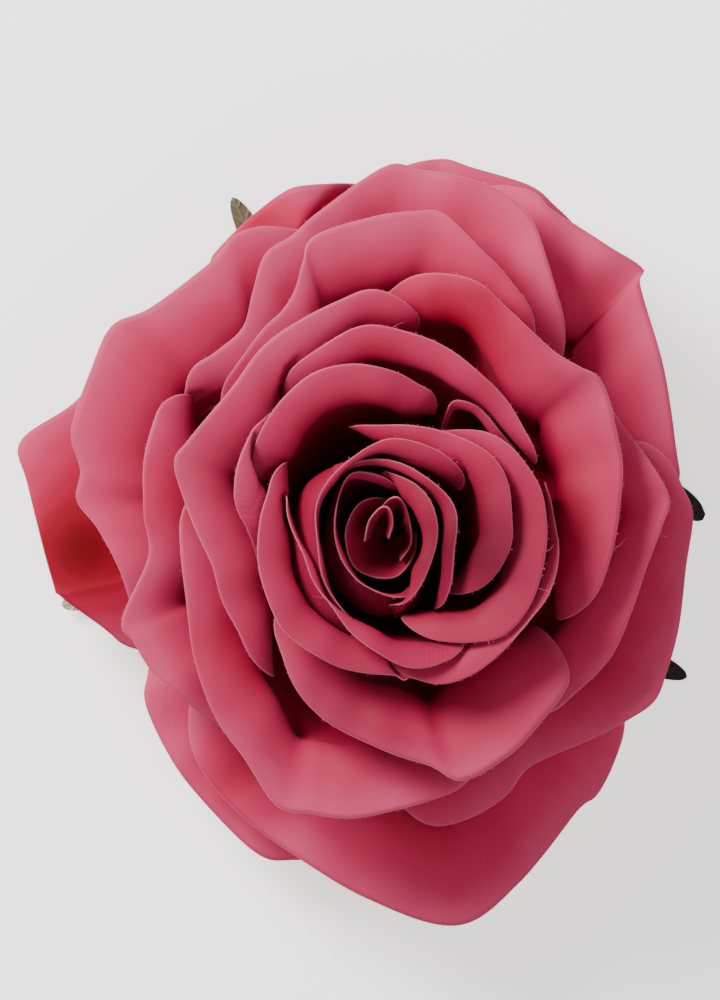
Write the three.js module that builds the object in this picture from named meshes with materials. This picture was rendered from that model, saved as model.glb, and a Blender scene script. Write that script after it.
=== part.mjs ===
// A full-blown fabric rose head, cut off below its calyx and resting on a surface with its face up.
// Millimetres, +Z up. The surface is z = 0, and the origin is under the middle of the head.
import * as THREE from "three";

// Driving dimensions
const CORE_HEIGHT = 15; // middle of the core, where all the petals come from
const CORE_RADIUS = 6.2;
const NECK_RADIUS = 3;
const FOOT_DISTANCE = 7; // from the middle of the core to the foot of each petal
const PETAL_THICKNESS = 0.4;
const PETAL_SPACING = 1.2; // between the middles of two petals that lie on each other
const WALL_SHARE = 0.5; // of a petal's way from foot to rim, below its lip
const CORNER = 0.12; // share of the rim that a rounded corner takes at each end
const CORNER_DEPTH = 0.5;
const NEAR_ALONG = 0.3; // how far around each point of a petal the space must be free, in steps of its grid
const NEAR_UP = 0.1;
const SEPAL_THICKNESS = 0.7;
const CALYX_HEIGHT = 7.4;
const HEART_HEIGHT = 49;

const ROSE = { color: 0xd4587f, roughness: 0.75, metalness: 0 };
const DEEP_ROSE = { color: 0xa81e3c, roughness: 0.8, metalness: 0 };
const LEAF_GREEN = { color: 0x6f7f4a, roughness: 0.8, metalness: 0 };
const STEM_GREEN = { color: 0x3f5a2c, roughness: 0.6, metalness: 0 };

// Each petal: its name, the width of its turned-out lip, how far it leans (90 is upright, more leans over the
// bud), how far round the lip turns in degrees (90 ends level, more hangs), and the points that its rim runs
// through, [x, y, z] from the flower's axis and the surface. A list of widths or leans runs along the rim.
// The order is from the bud outwards.
const PETALS = [
  ["bud_wrap_left", [1, 0.6, 0.4, 0.4, 0.4, 1], [95, 98, 104, 116, 118, 112], 80, [[3, 7.2, 50],
    [-1, 8.9, 52.5], [-4.9, 9, 53], [-7, 4.6, 53.5], [-7, 0, 53], [-4, -5.4, 52.5], [-0.4, -7.7, 52],
    [3, -7.9, 51], [5, -6.2, 49]]],
  ["bud_wrap_right", [1.5, 3, 3.2, 3, 1.5], 88, 70, [[-1.6, 9.8, 50], [1.5, 9.2, 53], [4.6, 7.6, 54],
    [6.6, 4.8, 54.5], [7.2, 0.8, 54.5], [6.2, -4.4, 54], [3.6, -8, 53], [0, -9.4, 50]]],
  ["bud_scroll", [1, 1, 1.8, 2, 2], 92, 75, [[-8, 7, 50], [-6.4, 9.8, 53], [-2.6, 11.2, 54.5],
    [2.2, 10.6, 55], [6.4, 8.6, 55.5], [9.2, 5.4, 55.5], [10, 1.4, 55.5], [9.2, -5.2, 54.5],
    [8.2, -8.6, 52.5], [7, -11, 49]]],
  ["inner_petal_top_left", [2.5, 3.5, 1.5, 0.5, 0.5, 0.5], [90, 92, 102, 115, 122, 112], 85, [
    [11.8, 6.8, 50], [10.7, 9.5, 54], [7, 12.8, 56], [0.4, 14.1, 56.5], [-5.9, 10.5, 56], [-9.2, 5.7, 56],
    [-9.8, 0.5, 55.5], [-8.7, -4.5, 55], [-6.2, -9.5, 53.5], [-3, -13, 50.5]]],
  ["inner_petal_right", [2, 3, 4.4, 4.6, 4.6, 4], 90, 95, [[-6.3, 16.6, 46], [-2.5, 16, 50.5],
    [3.5, 16, 54.2], [10.5, 14.4, 55.2], [14.8, 11.8, 56], [17.2, 7.5, 56], [17.8, 2, 56],
    [17.1, -1.6, 55.5], [14.4, -6, 54], [9.4, -9.2, 51.5]]],
  ["inner_petal_far_right", [2, 3, 4.5, 5.5, 5.5, 5, 4], 90, 96, [[5.4, 15.8, 48], [9.8, 15.4, 51.5],
    [14.2, 14.9, 54], [18, 12.6, 55], [21.4, 8, 55], [22.3, 3, 55], [22.2, -3, 54.8], [20.6, -8.4, 54.3],
    [16.9, -12.9, 53.8], [12.5, -14.2, 53.3], [6.4, -14, 52.5], [1.6, -12.8, 50.5]]],
  ["inner_petal_bottom_left", [1, 1, 1.2, 2, 3.5, 4, 4], [95, 95, 95, 92, 90, 90, 90], 92, [
    [-14.2, 7.5, 50], [-13.4, 3, 52.5], [-11.4, -2.4, 54], [-8.3, -8.1, 54.5], [-4.8, -12.8, 55],
    [-0.7, -16, 55], [3.5, -17.6, 54.5], [8.6, -16.8, 53.5], [13.6, -14.4, 51]]],
  ["inner_petal_lower_right", [1, 1.5, 2, 4, 5, 5], 92, 92, [[22.4, 9.5, 48], [23.6, 3.4, 51], [24, -2, 53],
    [22.6, -8, 53.5], [19.2, -12.2, 53.5], [16.1, -15.6, 53], [12.2, -18.6, 53], [7.7, -20, 52.5],
    [3.2, -19.2, 51], [-1, -17.8, 48]]],
  ["inner_petal_lower_left", [3.5, 4.4, 4.6, 5, 5, 5], 90, 98, [[-14.4, 13, 48.5], [-16, 7.6, 51.5],
    [-17.6, 2.8, 52.5], [-17.5, -4.9, 53], [-15, -11.2, 53], [-12.2, -14.3, 52.7], [-9.5, -16.2, 52.5],
    [-6.1, -17.8, 52], [-1.4, -18.7, 51.5], [3.6, -19, 50.5], [7, -19.5, 48]]],
  ["cup_petal_top_left", [4, 5.5, 5.5, 5.5, 5, 3.5], 90, 98, [[-19, 8, 46.5], [-18.2, 13, 50],
    [-16.4, 17, 52], [-14, 20.2, 52.5], [-9.8, 23.3, 53], [-4.2, 24.6, 53], [1, 23.6, 52.5],
    [4.6, 21.8, 51], [6.9, 20.6, 49.5], [8.2, 19, 46.5]]],
  ["cup_petal_left", [4, 5.5, 5.5, 5], 90, 98, [[-13.6, 19.6, 46], [-17.8, 15.8, 50.5], [-20.5, 11, 52],
    [-21.1, 6.7, 52.2], [-20.5, 4, 51.7], [-19.4, 1.8, 50.8], [-18.2, -1.5, 48.5], [-17.4, -5, 45.5]]],
  ["cup_petal_small", [1, 1.2, 1.2, 1], 96, 80, [[7.6, 14.6, 44], [8.6, 17.8, 46.5], [9.8, 19.6, 47],
    [13, 18.6, 47], [16, 15.2, 46], [19.5, 11.4, 43]]],
  ["cup_petal_top", [4, 5, 5, 4, 3, 2.5], 90, 92, [[-16, 19.4, 45], [-12.2, 24.6, 48.5], [-7, 28.3, 50.5],
    [-2.4, 30, 51], [2.8, 29.2, 51], [8.4, 26.8, 51], [13, 23.6, 51], [17.3, 19, 50], [21, 13, 48.5],
    [22.6, 10, 46]]],
  ["middle_petal_bottom", [6, 7, 8, 10, 13, 14, 9], 86, 94, [[-16.8, -6.4, 42], [-15.6, -13, 44.5],
    [-13, -19.6, 46.5], [-9.3, -24.4, 47], [-4.9, -27.2, 47.5], [0.7, -29.8, 47.5], [6.3, -31.5, 47],
    [10.8, -33.6, 46.5], [16.5, -30.5, 46.5], [20.6, -27, 46.5], [24.6, -22, 45.8], [26, -18, 44.5],
    [25.6, -12.5, 41.5]]],
  ["middle_petal_left", [6, 7, 8, 9, 9, 8, 7, 6], 88, 92, [[6.2, 31, 43], [4.8, 33, 46.5], [-1.4, 35, 48],
    [-6.3, 33.4, 48.7], [-11.9, 30.8, 49], [-17.5, 26.3, 49], [-22.8, 19.6, 48.5], [-27.4, 14, 47.5],
    [-29.4, 10.8, 47], [-27.8, 4.9, 47], [-24.6, -2.8, 47.5], [-22, -9.8, 47], [-18.6, -17.3, 45.5],
    [-16, -23, 42]]],
  ["middle_petal_right", [6, 7, 8, 10, 11, 9, 8, 7], 86, 98, [[-3.4, 34.4, 42.5], [4.6, 37, 46.5],
    [9.5, 37.2, 47.5], [13.3, 35.8, 48], [16.8, 32.5, 48], [23.1, 26.8, 48], [27.3, 24.2, 47.5],
    [30.3, 21.8, 47], [32.9, 12.6, 47], [32.9, 5.6, 47.5], [31.4, -2.8, 47.5], [29, -8.8, 46.5],
    [26.4, -14.4, 43.5]]],
  ["wide_petal_top", [7, 9, 10, 11, 10, 9], 86, 96, [[-25.6, 15, 37], [-22.4, 22, 40], [-17.5, 29, 42],
    [-14.5, 32, 42.5], [-12.6, 35, 43], [-11.4, 39, 43], [-9.9, 42.4, 42.5], [-2.1, 45.1, 42], [4, 46, 42],
    [8.2, 45.6, 42], [13.3, 40.6, 43], [16.4, 37.6, 43], [20.4, 32.6, 42], [24, 27, 38]]],
  ["wide_petal_right", [7, 8, 8, 8, 8], 86, 98, [[28.6, 25, 37], [32, 18, 40.5], [37.1, 10.7, 42.5],
    [39.7, 5.9, 42], [38.9, 2.4, 42], [36.4, -4.2, 42.5], [34.6, -9.8, 42.5], [32.2, -15.1, 42],
    [28.9, -19.4, 41], [24.8, -23.2, 39], [20, -27.4, 35]]],
  ["wide_petal_bottom_left", [7, 9, 9, 10, 10, 9], 86, 98, [[-28.4, 11, 37], [-28.8, 2, 40],
    [-28.2, -5.6, 41], [-26.6, -16.8, 41], [-23.8, -24.6, 41], [-19.6, -30.7, 40.5], [-15.2, -37.2, 39.5],
    [-10.5, -38.3, 40], [-4.9, -38.9, 40.5], [0.7, -37.9, 40.5], [6, -36.6, 40], [11.6, -34.4, 38],
    [17, -31, 34]]],
  ["wide_petal_left", [8, 9, 10, 10, 9], 84, 104, [[-29, 24, 31], [-32, 18, 34], [-33.8, 11, 35.5],
    [-33.8, 4, 36], [-33.2, -2.5, 35.5], [-36.9, -11.3, 34], [-35.3, -14.3, 34], [-32.6, -18.5, 34.5],
    [-29.4, -21.4, 34.5], [-25.2, -25, 33], [-20, -29.6, 30]]],
  ["outer_petal_top", [9, 11, 12, 13, 12, 11], 84, 100, [[-32, 17, 27], [-28, 23.4, 31],
    [-23.8, 26.2, 33.5], [-20, 29.8, 34.5], [-18.6, 34.5, 35], [-16.8, 40, 35], [-12.9, 42.8, 34.5],
    [-9.5, 45.8, 34.5], [0, 52.4, 33], [4.9, 51.9, 33.5], [11.2, 50.8, 34], [16.8, 48.6, 34],
    [20.5, 45, 34.5], [22.8, 39.2, 35], [25, 31.6, 34.5], [28.4, 22.6, 31]]],
  ["outer_petal_lower_right", [9, 10, 10, 10, 10, 9], 84, 102, [[37.6, 18, 29], [41.3, 8.4, 33.5],
    [43.1, 3.5, 34], [42.1, -4.2, 34.5], [41.3, -11.9, 34.5], [39.5, -18.5, 34], [37.8, -22.5, 33.5],
    [34, -25.2, 34], [28.7, -28, 34.5], [23.1, -30.3, 35], [19.6, -32.4, 35], [16.8, -35.9, 34.5],
    [11.9, -39, 34], [6.3, -40, 33], [-1.5, -38.6, 29]]],
  ["outer_petal_upper_left", [10, 12, 14, 14, 12, 10], 82, 108, [[-5, 45.6, 23], [-13, 44, 26.5],
    [-17.5, 44, 27.5], [-21.4, 42.6, 28], [-24.5, 39, 28.5], [-33, 32.6, 28], [-38.4, 30, 27],
    [-41.3, 23.8, 27], [-44.1, 15.5, 27], [-42.8, 9.8, 27], [-43.3, 5.6, 26.5], [-40.3, 1.6, 27.5],
    [-37.4, -4, 28], [-35.4, -10, 26.5], [-32.6, -18, 23]]],
  ["outer_petal_upper_right", [10, 12, 14, 14, 12, 10], 82, 108, [[9, 50.4, 22], [16.8, 49.8, 24.5],
    [21, 48.8, 25.5], [23.6, 46.3, 26], [30.8, 41.7, 26.5], [36.2, 38.2, 25.5], [35.9, 35.7, 26],
    [38.9, 25.2, 27.5], [40.2, 18.2, 27.5], [41.2, 11.2, 26.5], [42.6, 2.5, 23]]],
  ["back_petal_top", [12, 14, 12], 80, 112, [[-8, 48, 14], [2, 52.4, 19], [8, 53.6, 20], [12, 52.5, 20.5],
    [20.3, 49.9, 20.5], [24, 47, 19], [29.6, 41.6, 14]]],
  ["back_petal_bottom", [11, 13, 15, 15, 13, 11], 80, 110, [[36, -16.6, 16], [34.2, -25.5, 19],
    [32.2, -31.5, 20.5], [29.8, -36, 20.5], [27, -38.3, 21], [18.9, -48.3, 20.5], [10.2, -54.3, 19.5],
    [-2.1, -50.7, 21], [-14.7, -43.1, 21.5], [-21, -38.1, 22], [-25.9, -32.2, 22], [-28.2, -26, 21],
    [-30.4, -18, 18]]],
  ["back_petal_top_left", [12, 14, 12], 80, 112, [[-27, 37, 11], [-21.4, 43.2, 15], [-14.7, 48.7, 18],
    [-10.5, 50, 18.5], [-3, 50, 16.5], [5, 48.6, 12]]],
  ["back_petal_bottom_left", [12, 14, 12], 80, 112, [[-32, -9.6, 10], [-33.4, -18.6, 12], [-33.8, -23, 13],
    [-30.8, -29.8, 13.5], [-26.6, -35.8, 13.5], [-18.2, -44.2, 12.5], [-12.6, -45.2, 11], [-4, -44.2, 8]]],
  ["back_petal_left", [12, 14, 14, 12], 80, 112, [[-38.6, 25.6, 9], [-43.8, 19.4, 11.5],
    [-51.4, 13.9, 12.3], [-50.4, 7.7, 12.8], [-46.9, -5.9, 12.6], [-45.5, -8.2, 12.6], [-38.4, -13.6, 10.8],
    [-34, -19, 8]]],
];

// Each sepal: the direction of its foot and of its tip in degrees, and how far the tip reaches
const SEPALS = [
  [112, 114, 53],
  [189, 191.5, 46.5],
  [262, 264, 42],
  [334, 335.5, 47],
  [30, 4.5, 46],
];

const degrees = THREE.MathUtils.degToRad;
const mix = THREE.MathUtils.lerp;

// The space that is already taken, as the angle from the flower's axis up to which petals lie, for each
// direction around the axis and each distance from the middle of the core
class Crowd {
  static DIRECTIONS = 120;
  static RINGS = 56;
  static RING_STEP = 1.1;
  static STEEPEST = 1.1; // how fast a petal may move outwards over the edge of the one inside it

  constructor(budRadius) {
    this.taken = [];
    for (let ring = 0; ring < Crowd.RINGS; ring++) {
      const angle = Math.atan(budRadius / this.distance(ring));
      this.taken.push(new Array(Crowd.DIRECTIONS).fill(angle));
    }
  }

  distance(ring) {
    return FOOT_DISTANCE - 1 + ring * Crowd.RING_STEP;
  }

  place(turn, distance) {
    const wrapped = THREE.MathUtils.euclideanModulo(turn / (2 * Math.PI), 1) * Crowd.DIRECTIONS;
    const ring = (distance - this.distance(0)) / Crowd.RING_STEP;
    return [wrapped, THREE.MathUtils.clamp(ring, 0, Crowd.RINGS - 1.001)];
  }

  angleAt(turn, distance) {
    const [column, ring] = this.place(turn, distance);
    const c = Math.floor(column) % Crowd.DIRECTIONS;
    const next = (c + 1) % Crowd.DIRECTIONS;
    const r = Math.floor(ring);
    const along = column - Math.floor(column);
    const low = mix(this.taken[r][c], this.taken[r][next], along);
    const high = mix(this.taken[r + 1][c], this.taken[r + 1][next], along);
    return mix(low, high, ring - r);
  }

  // The greatest taken angle around a place, as far as the flat facets beside it reach
  highestNear({ turn, distance }, turnReach, distanceReach) {
    let highest = 0;
    for (let k = -2; k <= 2; k++) {
      for (let m = -2; m <= 2; m++) {
        const angle = this.angleAt(turn + (k * turnReach) / 2, distance + (m * distanceReach) / 2);
        highest = Math.max(highest, angle);
      }
    }
    return highest;
  }

  raise(ring, column, angle) {
    if (ring < 0 || ring >= Crowd.RINGS) {
      return;
    }
    const c = (column + Crowd.DIRECTIONS) % Crowd.DIRECTIONS;
    this.taken[ring][c] = Math.max(this.taken[ring][c], angle);
  }

  add(surface) {
    const steps = 5;
    for (let i = 0; i < surface.length - 1; i++) {
      for (let j = 0; j < surface[0].length - 1; j++) {
        for (let k = 0; k <= steps; k++) {
          for (let m = 0; m <= steps; m++) {
            const at = (key) => mix(
              mix(surface[i][j][key], surface[i + 1][j][key], k / steps),
              mix(surface[i][j + 1][key], surface[i + 1][j + 1][key], k / steps),
              m / steps,
            );
            const [column, ring] = this.place(at("turn"), at("distance"));
            for (const r of [Math.floor(ring), Math.floor(ring) + 1]) {
              this.raise(r, Math.floor(column), at("angle"));
              this.raise(r, Math.floor(column) + 1, at("angle"));
            }
          }
        }
      }
    }
    this.soften();
  }

  // A taken place fades away beside it, so that the next petal bends over an edge and has no step
  soften() {
    const sideways = (Crowd.STEEPEST * 2 * Math.PI) / Crowd.DIRECTIONS;
    for (let pass = 0; pass < 4; pass++) {
      for (let ring = 0; ring < Crowd.RINGS; ring++) {
        const outwards = (Crowd.STEEPEST * Crowd.RING_STEP) / this.distance(ring);
        for (let c = 0; c < Crowd.DIRECTIONS; c++) {
          const angle = this.taken[ring][c];
          this.raise(ring + 1, c, angle - outwards);
          this.raise(ring - 1, c, angle - outwards);
          this.raise(ring, c + 1, angle - sideways);
          this.raise(ring, c - 1, angle - sideways);
        }
      }
    }
  }
}

// The value at a share s of the way through the given ones
function along(values, s) {
  const list = [values].flat();
  const at = s * (list.length - 1);
  const k = Math.min(Math.floor(at), Math.max(list.length - 2, 0));
  return mix(list[k], list[Math.min(k + 1, list.length - 1)], THREE.MathUtils.smoothstep(at - k, 0, 1));
}

// The cross-section of a petal from its foot to its rim, [distance from the axis, height] at a share t of it:
// it leaves the core outwards, rises as the wall of a cup and turns out in an elliptic lip
function profilePoint(shape, t) {
  const { foot, leave, leaveReach, crest, lean, leanReach, width, depth, round } = shape;
  if (t >= WALL_SHARE) {
    const bend = (round * (t - WALL_SHARE)) / (1 - WALL_SHARE);
    return new THREE.Vector2(
      crest.x + (width * (1 - Math.cos(bend))) / (1 - Math.cos(round)),
      crest.y + (depth * Math.sin(bend)) / Math.sin(round),
    );
  }
  const wall = new THREE.CubicBezierCurve(
    foot,
    new THREE.Vector2(Math.cos(leave), Math.sin(leave)).multiplyScalar(leaveReach).add(foot),
    new THREE.Vector2(Math.cos(lean), Math.sin(lean)).multiplyScalar(-leanReach).add(crest),
    crest,
  );
  return wall.getPoint(t / WALL_SHARE);
}

// A petal as a grid of places, each a turn around the flower's axis, a distance from the middle of the core
// and an angle from the axis
function petalSurface([, lip, leans, turnedTo, rimPoints], order, crowd) {
  const across = rimPoints.length < 11 ? 8 : 12;
  const up = 8;
  const rimVectors = rimPoints.map((p) => new THREE.Vector3(...p));
  const rim = new THREE.CatmullRomCurve3(rimVectors, false, "catmullrom", 0.5);
  const footAngle = degrees(mix(15, 112, order));
  const footNarrowing = mix(0.8, 0.4, order);
  const edges = [];
  for (let i = 0; i <= across; i++) {
    const p = rim.getPointAt(i / across);
    let turn = Math.atan2(p.y, p.x);
    if (i > 0) {
      const last = edges[i - 1].turn;
      turn += 2 * Math.PI * Math.round((last - turn) / (2 * Math.PI));
    }
    edges.push({ turn, radius: Math.hypot(p.x, p.y), height: p.z });
  }
  const middle = (edges[0].turn + edges[across].turn) / 2;
  const foot = new THREE.Vector2(
    FOOT_DISTANCE * Math.sin(footAngle),
    CORE_HEIGHT + FOOT_DISTANCE * Math.cos(footAngle),
  );
  const surface = edges.map((edge, i) => {
    const s = i / across;
    const sidewards = Math.abs(2 * s - 1);
    const width = along(lip, s) * (1 - 0.4 * sidewards ** 5);
    const depth = (mix(0.42, 0.12, Math.max(2 * order - 1, 0)) * width + 0.6) * (1 + sidewards ** 5);
    const crest = new THREE.Vector2(edge.radius - width, edge.height - depth);
    const shape = { foot, crest, width, depth };
    shape.leave = degrees(mix(70, 0, order));
    shape.leaveReach = 0.45 * foot.distanceTo(crest);
    shape.lean = degrees(along(leans, s));
    shape.leanReach = 0.35 * foot.distanceTo(crest);
    shape.round = degrees(turnedTo);
    // the corners of the petal are round: near its ends it stops short of the rim
    const beyond = Math.max((sidewards - 1 + 2 * CORNER) / (2 * CORNER), 0);
    const reached = 1 - CORNER_DEPTH * (1 - Math.sqrt(1 - beyond ** 2));
    const places = [];
    for (let j = 0; j <= up; j++) {
      const t = (reached * j) / up;
      const p = profilePoint(shape, t);
      const turn = mix(mix(middle, edge.turn, footNarrowing), edge.turn, Math.sin((t * Math.PI) / 2));
      const distance = Math.max(Math.hypot(p.x, p.y - CORE_HEIGHT), FOOT_DISTANCE);
      places.push({ turn, distance, angle: Math.atan2(p.x, p.y - CORE_HEIGHT) });
    }
    return places;
  });
  for (let i = 0; i <= across; i++) {
    for (let j = 0; j <= up; j++) {
      const place = surface[i][j];
      const turns = surface[Math.min(i + 1, across)][j].turn - surface[Math.max(i - 1, 0)][j].turn;
      const distances = surface[i][Math.min(j + 1, up)].distance - surface[i][Math.max(j - 1, 0)].distance;
      const taken = crowd.highestNear(place, NEAR_ALONG * turns, NEAR_UP * distances);
      place.free = taken + PETAL_SPACING / place.distance;
    }
  }
  for (const place of surface.flat()) {
    place.angle = Math.max(place.angle, place.free);
  }
  return surface;
}

function toPoint({ turn, distance, angle }) {
  const radius = distance * Math.sin(angle);
  return new THREE.Vector3(
    radius * Math.cos(turn),
    radius * Math.sin(turn),
    CORE_HEIGHT + distance * Math.cos(angle),
  );
}

// A closed sheet of even thickness around a grid of points
function sheet(points, thickness) {
  const rows = points.length;
  const columns = points[0].length;
  const positions = [];
  for (const side of [-0.5, 0.5]) {
    for (let i = 0; i < rows; i++) {
      for (let j = 0; j < columns; j++) {
        const alongRows = points[Math.min(i + 1, rows - 1)][j].clone().sub(points[Math.max(i - 1, 0)][j]);
        const alongColumns = points[i][Math.min(j + 1, columns - 1)].clone().sub(points[i][Math.max(j - 1, 0)]);
        const normal = alongRows.cross(alongColumns).normalize();
        positions.push(...points[i][j].clone().addScaledVector(normal, side * thickness).toArray());
      }
    }
  }
  const vertex = (side, i, j) => side * rows * columns + i * columns + j;
  const faces = [];
  const quad = (a, b, c, d) => faces.push(a, b, c, a, c, d);
  for (let i = 0; i < rows - 1; i++) {
    for (let j = 0; j < columns - 1; j++) {
      quad(vertex(1, i, j), vertex(1, i + 1, j), vertex(1, i + 1, j + 1), vertex(1, i, j + 1));
      quad(vertex(0, i, j), vertex(0, i, j + 1), vertex(0, i + 1, j + 1), vertex(0, i + 1, j));
    }
    quad(vertex(0, i, 0), vertex(0, i + 1, 0), vertex(1, i + 1, 0), vertex(1, i, 0));
    quad(vertex(1, i, columns - 1), vertex(1, i + 1, columns - 1), vertex(0, i + 1, columns - 1),
      vertex(0, i, columns - 1));
  }
  for (let j = 0; j < columns - 1; j++) {
    quad(vertex(1, 0, j), vertex(1, 0, j + 1), vertex(0, 0, j + 1), vertex(0, 0, j));
    quad(vertex(0, rows - 1, j), vertex(0, rows - 1, j + 1), vertex(1, rows - 1, j + 1), vertex(1, rows - 1, j));
  }
  const geometry = new THREE.BufferGeometry();
  geometry.setAttribute("position", new THREE.Float32BufferAttribute(positions, 3));
  geometry.setIndex(faces);
  geometry.computeVertexNormals();
  return geometry;
}

// A solid of revolution about +Z, from [radius, height] points that start and end on the axis
function turned(profile, segments) {
  const geometry = new THREE.LatheGeometry(profile.map((p) => new THREE.Vector2(...p)), segments);
  return geometry.rotateX(Math.PI / 2);
}

function addMesh(group, name, geometry, look) {
  const mesh = new THREE.Mesh(geometry, new THREE.MeshStandardMaterial(look));
  mesh.name = name;
  group.add(mesh);
  return mesh;
}

// The furled petals in the middle of the bud
function budHeart() {
  const profile = [[0, 22.5], [1.4, 23], [2.2, 30], [2.5, 40], [2.4, 46], [1.6, HEART_HEIGHT - 0.6],
    [0, HEART_HEIGHT]];
  return turned(profile, 12);
}

// The core that the petals are fixed to: a ball on a neck that stands on the calyx
function core() {
  const seat = CALYX_HEIGHT + 0.02;
  const profile = [[0, seat], [NECK_RADIUS, seat]];
  const neckAngle = Math.asin(NECK_RADIUS / CORE_RADIUS);
  for (let k = 0; k <= 9; k++) {
    const angle = mix(neckAngle, Math.PI, k / 9);
    profile.push([CORE_RADIUS * Math.sin(angle), CORE_HEIGHT - CORE_RADIUS * Math.cos(angle)]);
  }
  profile[profile.length - 1][0] = 0;
  return turned(profile, 20);
}

// The green cup under the core, flat below, with a socket for the stem
function calyx() {
  const profile = [[0, 5.2], [2.6, 5.2], [2.6, 0], [6, 0], [7, 1.6], [7, 3.6], [5.4, 6.4], [3.4, CALYX_HEIGHT],
    [0, CALYX_HEIGHT]];
  return turned(profile, 24);
}

// The cut end of the stem in its socket
function stemEnd() {
  return turned([[0, 0], [2.2, 0], [2.2, 4.8], [0, 4.8]], 16);
}

// A sepal: it leaves the calyx, comes down to the surface and lies on it, and its tip lifts a little
function sepal(footDirection, tipDirection, reach) {
  const along = 10;
  const across = 4;
  const start = 7.2;
  const points = [];
  for (let j = 0; j <= across; j++) {
    const side = (2 * j) / across - 1;
    const row = [];
    for (let i = 0; i <= along; i++) {
      const t = i / along;
      const radius = mix(start, reach, t);
      const direction = degrees(mix(footDirection, tipDirection, t ** 1.4));
      const halfWidth = mix(2.6, 0.35, t) + 3.6 * Math.sin(Math.PI * Math.min(t * 1.15, 1)) ** 1.2;
      const fall = 3.1 * (1 - Math.min(t / 0.35, 1)) ** 2;
      const tipLift = 2.2 * Math.max((t - 0.7) / 0.3, 0) ** 2;
      const height = SEPAL_THICKNESS / 2 + 0.02 + fall + tipLift + 0.7 * side * side * Math.sin(Math.PI * t);
      row.push(new THREE.Vector3(
        radius * Math.cos(direction) - side * halfWidth * Math.sin(direction),
        radius * Math.sin(direction) + side * halfWidth * Math.cos(direction),
        height,
      ));
    }
    points.push(row);
  }
  return sheet(points.reverse(), SEPAL_THICKNESS);
}

const group = new THREE.Group();
const head = new THREE.Group();
group.add(head);

const heart = addMesh(head, "bud_heart", budHeart(), DEEP_ROSE);
heart.position.set(-0.4, 2.2, 0);
addMesh(head, "core", core(), STEM_GREEN);
addMesh(head, "calyx", calyx(), STEM_GREEN);
addMesh(head, "stem_end", stemEnd(), STEM_GREEN);

const crowd = new Crowd(4.4);
PETALS.forEach((petal, index) => {
  const surface = petalSurface(petal, index / (PETALS.length - 1), crowd);
  crowd.add(surface);
  const clockwise = surface[0][0].turn > surface[surface.length - 1][0].turn;
  const points = surface.map((places) => places.map(toPoint));
  addMesh(head, petal[0], sheet(clockwise ? points.reverse() : points, PETAL_THICKNESS), ROSE);
});
SEPALS.forEach((shape, index) => {
  addMesh(head, `sepal_${index + 1}`, sepal(...shape), LEAF_GREEN);
});

// The origin goes under the middle of the head, which leans to one side of its own axis
const middle = new THREE.Box3().setFromObject(head, true).getCenter(new THREE.Vector3());
head.position.set(-middle.x, -middle.y, 0);

export default group;
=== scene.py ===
# The look of the fabric rose head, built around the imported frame. The frame is in metres. The shapes are
# laid out in mm, with x and y from the flower's axis and z from the surface that the head rests on.
import math

import bpy
import numpy as np
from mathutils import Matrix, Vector


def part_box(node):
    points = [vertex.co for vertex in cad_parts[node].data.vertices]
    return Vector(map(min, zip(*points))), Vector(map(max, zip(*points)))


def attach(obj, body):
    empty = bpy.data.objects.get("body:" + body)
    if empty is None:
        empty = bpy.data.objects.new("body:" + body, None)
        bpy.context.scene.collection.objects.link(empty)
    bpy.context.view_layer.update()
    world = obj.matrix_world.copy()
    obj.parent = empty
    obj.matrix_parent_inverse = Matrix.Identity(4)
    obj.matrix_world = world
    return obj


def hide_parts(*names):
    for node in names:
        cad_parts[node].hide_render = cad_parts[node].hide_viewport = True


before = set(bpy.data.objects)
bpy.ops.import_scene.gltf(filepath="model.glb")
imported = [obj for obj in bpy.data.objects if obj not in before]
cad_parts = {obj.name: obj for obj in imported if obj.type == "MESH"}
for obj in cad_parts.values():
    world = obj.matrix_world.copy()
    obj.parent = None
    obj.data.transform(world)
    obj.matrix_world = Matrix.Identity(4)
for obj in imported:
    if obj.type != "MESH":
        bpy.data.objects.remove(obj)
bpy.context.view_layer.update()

MM = 0.001

# The petals grow out around the middle of the core's box, and the flower's axis runs through it
core_low, core_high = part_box("core")
CORE = np.array([(core_low[k] + core_high[k]) / 2 for k in range(3)]) / MM
CORE_HEIGHT = CORE[2]
AXIS = np.array([CORE[0], CORE[1], 0])
FOOT_DISTANCE = 7.0
BUD_RADIUS = 4.4  # kept free for the folds in the middle

PETAL_THICKNESS = 0.22
PETAL_SPACING = 0.9  # between the middles of two petals that lie on each other
SPACING_GIVE = 0.15  # how much of that may be lost where a petal is evened out
SPACING_BLEND = 0.5  # over which a petal passes from its own shape to lying on the one inside it
GRID_STEP = 0.55  # along a rim
ACROSS_LIMITS = (130, 170)  # steps along a rim
UP = 44  # steps from foot to rim
WALL_SHARE = 0.5  # of those steps below the lip
# From the bud's first petal to the outermost one
FOOT_ANGLES = (15, 112)  # of the foot around the core, from straight up, in degrees
LEAVING_ANGLES = (70, 0)  # in which a petal leaves the core, from level, in degrees
NARROWING = (0.8, 0.4)  # of the foot, as a share of the rim's angle around the axis
LIP_DEPTHS = (0.42, 0.12)  # as a share of the lip's width, in the inner and the outermost petals
LEAST_LIP_DEPTH = 0.6
LIP_NARROWING = 0.4  # share of its width that a lip loses at the petal's ends
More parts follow.
